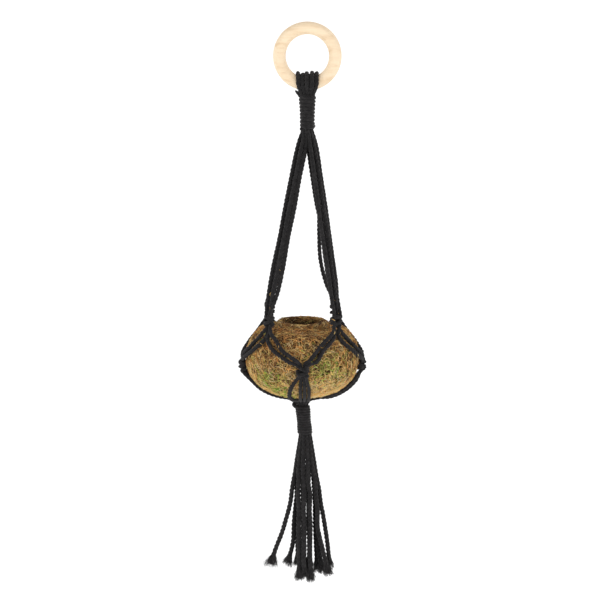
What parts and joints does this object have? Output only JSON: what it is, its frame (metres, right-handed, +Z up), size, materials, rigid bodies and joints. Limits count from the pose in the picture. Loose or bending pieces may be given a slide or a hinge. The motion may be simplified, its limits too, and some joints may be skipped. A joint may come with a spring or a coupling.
{
  "type": "hanging macrame planter",
  "caption": "Hanging planter: a knotted black cord sling on a wooden ring carries a round moss bowl with a lift-out liner and ends in a frayed tassel.",
  "frame": {"origin": "the hook seat: the middle of the ring's inside top, where a hook or nail carries it", "axes": "+Z up along the hanging line, the ring faces -Y, +X to the right seen from the front"},
  "size_m": [0.1328, 0.1328, 0.5843],
  "materials": {
    "ring_wood": "smooth unvarnished pale wood",
    "black_cord": "matte three-ply twisted cotton",
    "dried_moss": "matte tangled plant fibre",
    "liner_plastic": "matte moulded plastic"
  },
  "bodies": {
    "ring": {"hanging_ring": "ring_wood"},
    "sling": {"main_cord_1": "black_cord", "main_cord_2": "black_cord", "main_cord_3": "black_cord", "main_cord_4": "black_cord", "main_cord_5": "black_cord", "main_cord_6": "black_cord", "main_cord_7": "black_cord", "main_cord_8": "black_cord", "top_wrap": "black_cord", "upper_knot_front_left": "black_cord", "upper_knot_front_right": "black_cord", "upper_knot_back_right": "black_cord", "upper_knot_back_left": "black_cord", "lower_knot_front": "black_cord", "lower_knot_right": "black_cord", "lower_knot_back": "black_cord", "lower_knot_left": "black_cord"},
    "bowl": {"moss_bowl": "dried_moss"},
    "liner": {"liner_cup": "liner_plastic"},
    "tail": {"lower_wrap": "black_cord", "wrap_core": "black_cord"},
    "tassel_front_left": {"tassel_front_left_1": "black_cord", "tassel_front_left_2": "black_cord", "tassel_front_left_3": "black_cord", "tassel_front_left_4": "black_cord"},
    "tassel_front_right": {"tassel_front_right_1": "black_cord", "tassel_front_right_2": "black_cord", "tassel_front_right_3": "black_cord", "tassel_front_right_4": "black_cord"},
    "tassel_back_right": {"tassel_back_right_1": "black_cord", "tassel_back_right_2": "black_cord", "tassel_back_right_3": "black_cord", "tassel_back_right_4": "black_cord"},
    "tassel_back_left": {"tassel_back_left_1": "black_cord", "tassel_back_left_2": "black_cord", "tassel_back_left_3": "black_cord", "tassel_back_left_4": "black_cord"}
  },
  "joints": [
    {"name": "sling_swing", "type": "hinge", "parent": "ring", "child": "sling", "pos_m": [0, 0, -0.0505], "axis": [1, 0, 0], "range_deg": [-45, 45]},
    {"name": "bowl_turn", "type": "hinge", "parent": "sling", "child": "bowl", "pos_m": [-0.005, 0, -0.296], "axis": [0, 0, 1], "continuous": true},
    {"name": "liner_lift", "type": "slide", "parent": "bowl", "child": "liner", "axis": [0, 0, 1], "range_m": [0, 0.05]},
    {"name": "tail_swing", "type": "hinge", "parent": "sling", "child": "tail", "pos_m": [-0.005, 0, -0.384], "axis": [0, 1, 0], "range_deg": [-20, 20]},
    {"name": "tassel_front_left_spread", "type": "hinge", "parent": "tail", "child": "tassel_front_left", "pos_m": [-0.00412, -0.0023, -0.42026], "axis": [-0.7071, 0.7071, 0], "range_deg": [0, 15]},
    {"name": "tassel_front_right_spread", "type": "hinge", "parent": "tail", "child": "tassel_front_right", "pos_m": [0.00047, -0.0023, -0.42026], "axis": [-0.7071, -0.7071, 0], "range_deg": [0, 15]},
    {"name": "tassel_back_right_spread", "type": "hinge", "parent": "tail", "child": "tassel_back_right", "pos_m": [0.00047, 0.0023, -0.42026], "axis": [0.7071, -0.7071, 0], "range_deg": [0, 15]},
    {"name": "tassel_back_left_spread", "type": "hinge", "parent": "tail", "child": "tassel_back_left", "pos_m": [-0.00412, 0.0023, -0.42026], "axis": [0.7071, 0.7071, 0], "range_deg": [0, 15]}
  ]
}
